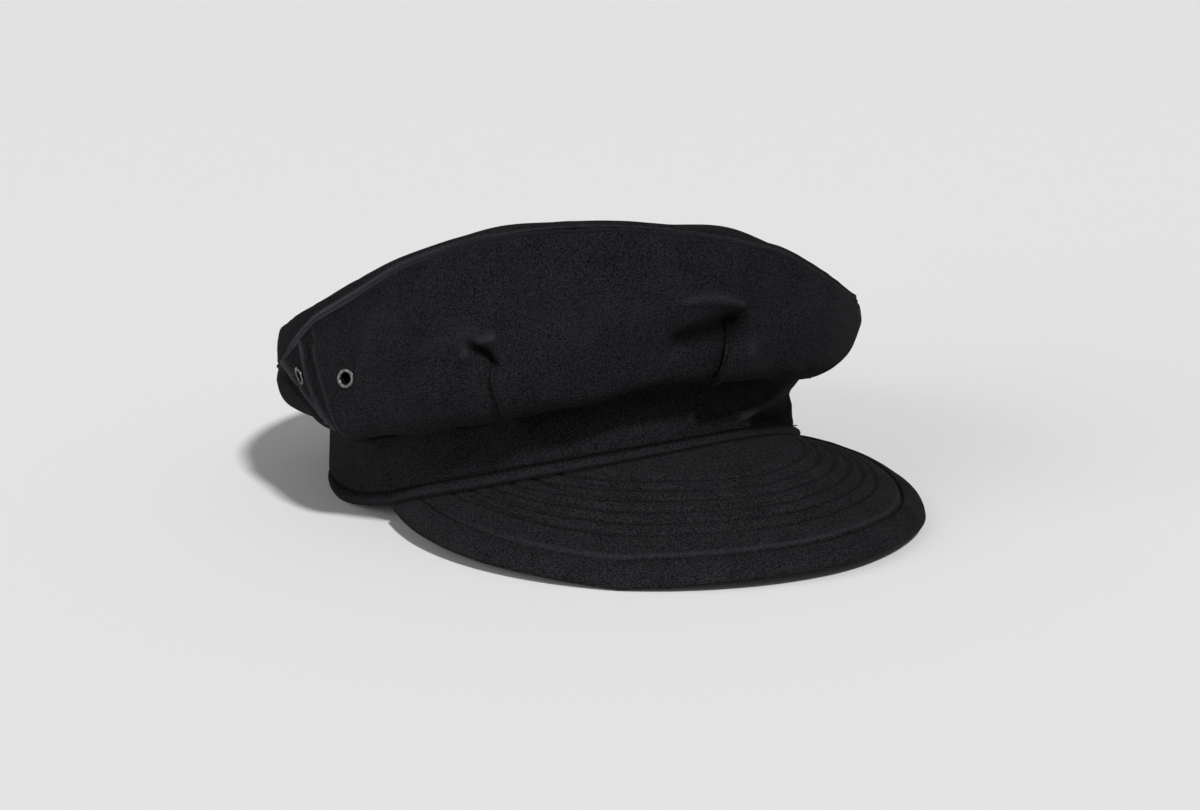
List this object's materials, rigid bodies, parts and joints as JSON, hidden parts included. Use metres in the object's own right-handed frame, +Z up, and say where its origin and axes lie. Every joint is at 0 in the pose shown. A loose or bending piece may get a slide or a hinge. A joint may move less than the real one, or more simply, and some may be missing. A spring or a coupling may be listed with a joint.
{
  "type": "utility cap",
  "caption": "Soft black cloth utility cap with a wide pleated crown, a head band, a stitched stiff peak and metal air eyelets; open below for the head.",
  "frame": {"origin": "middle of the cap's plan, on the surface that it stands on", "axes": "+Z up, the peak points to -Y, the wearer's left is +X"},
  "size_m": [0.2283, 0.2838, 0.1238],
  "materials": {
    "crown_cloth": "matte, short nap",
    "band_cloth": "matte, short nap",
    "peak_cloth": "matte, short nap",
    "eyelet_metal": "darkened, semi-gloss"
  },
  "bodies": {
    "root": {"crown_top": "crown_cloth", "crown_side": "crown_cloth", "band": "band_cloth", "peak": "peak_cloth", "eyelet_right_front": "eyelet_metal", "eyelet_right_rear": "eyelet_metal", "eyelet_left_front": "eyelet_metal", "eyelet_left_rear": "eyelet_metal"}
  },
  "joints": []
}
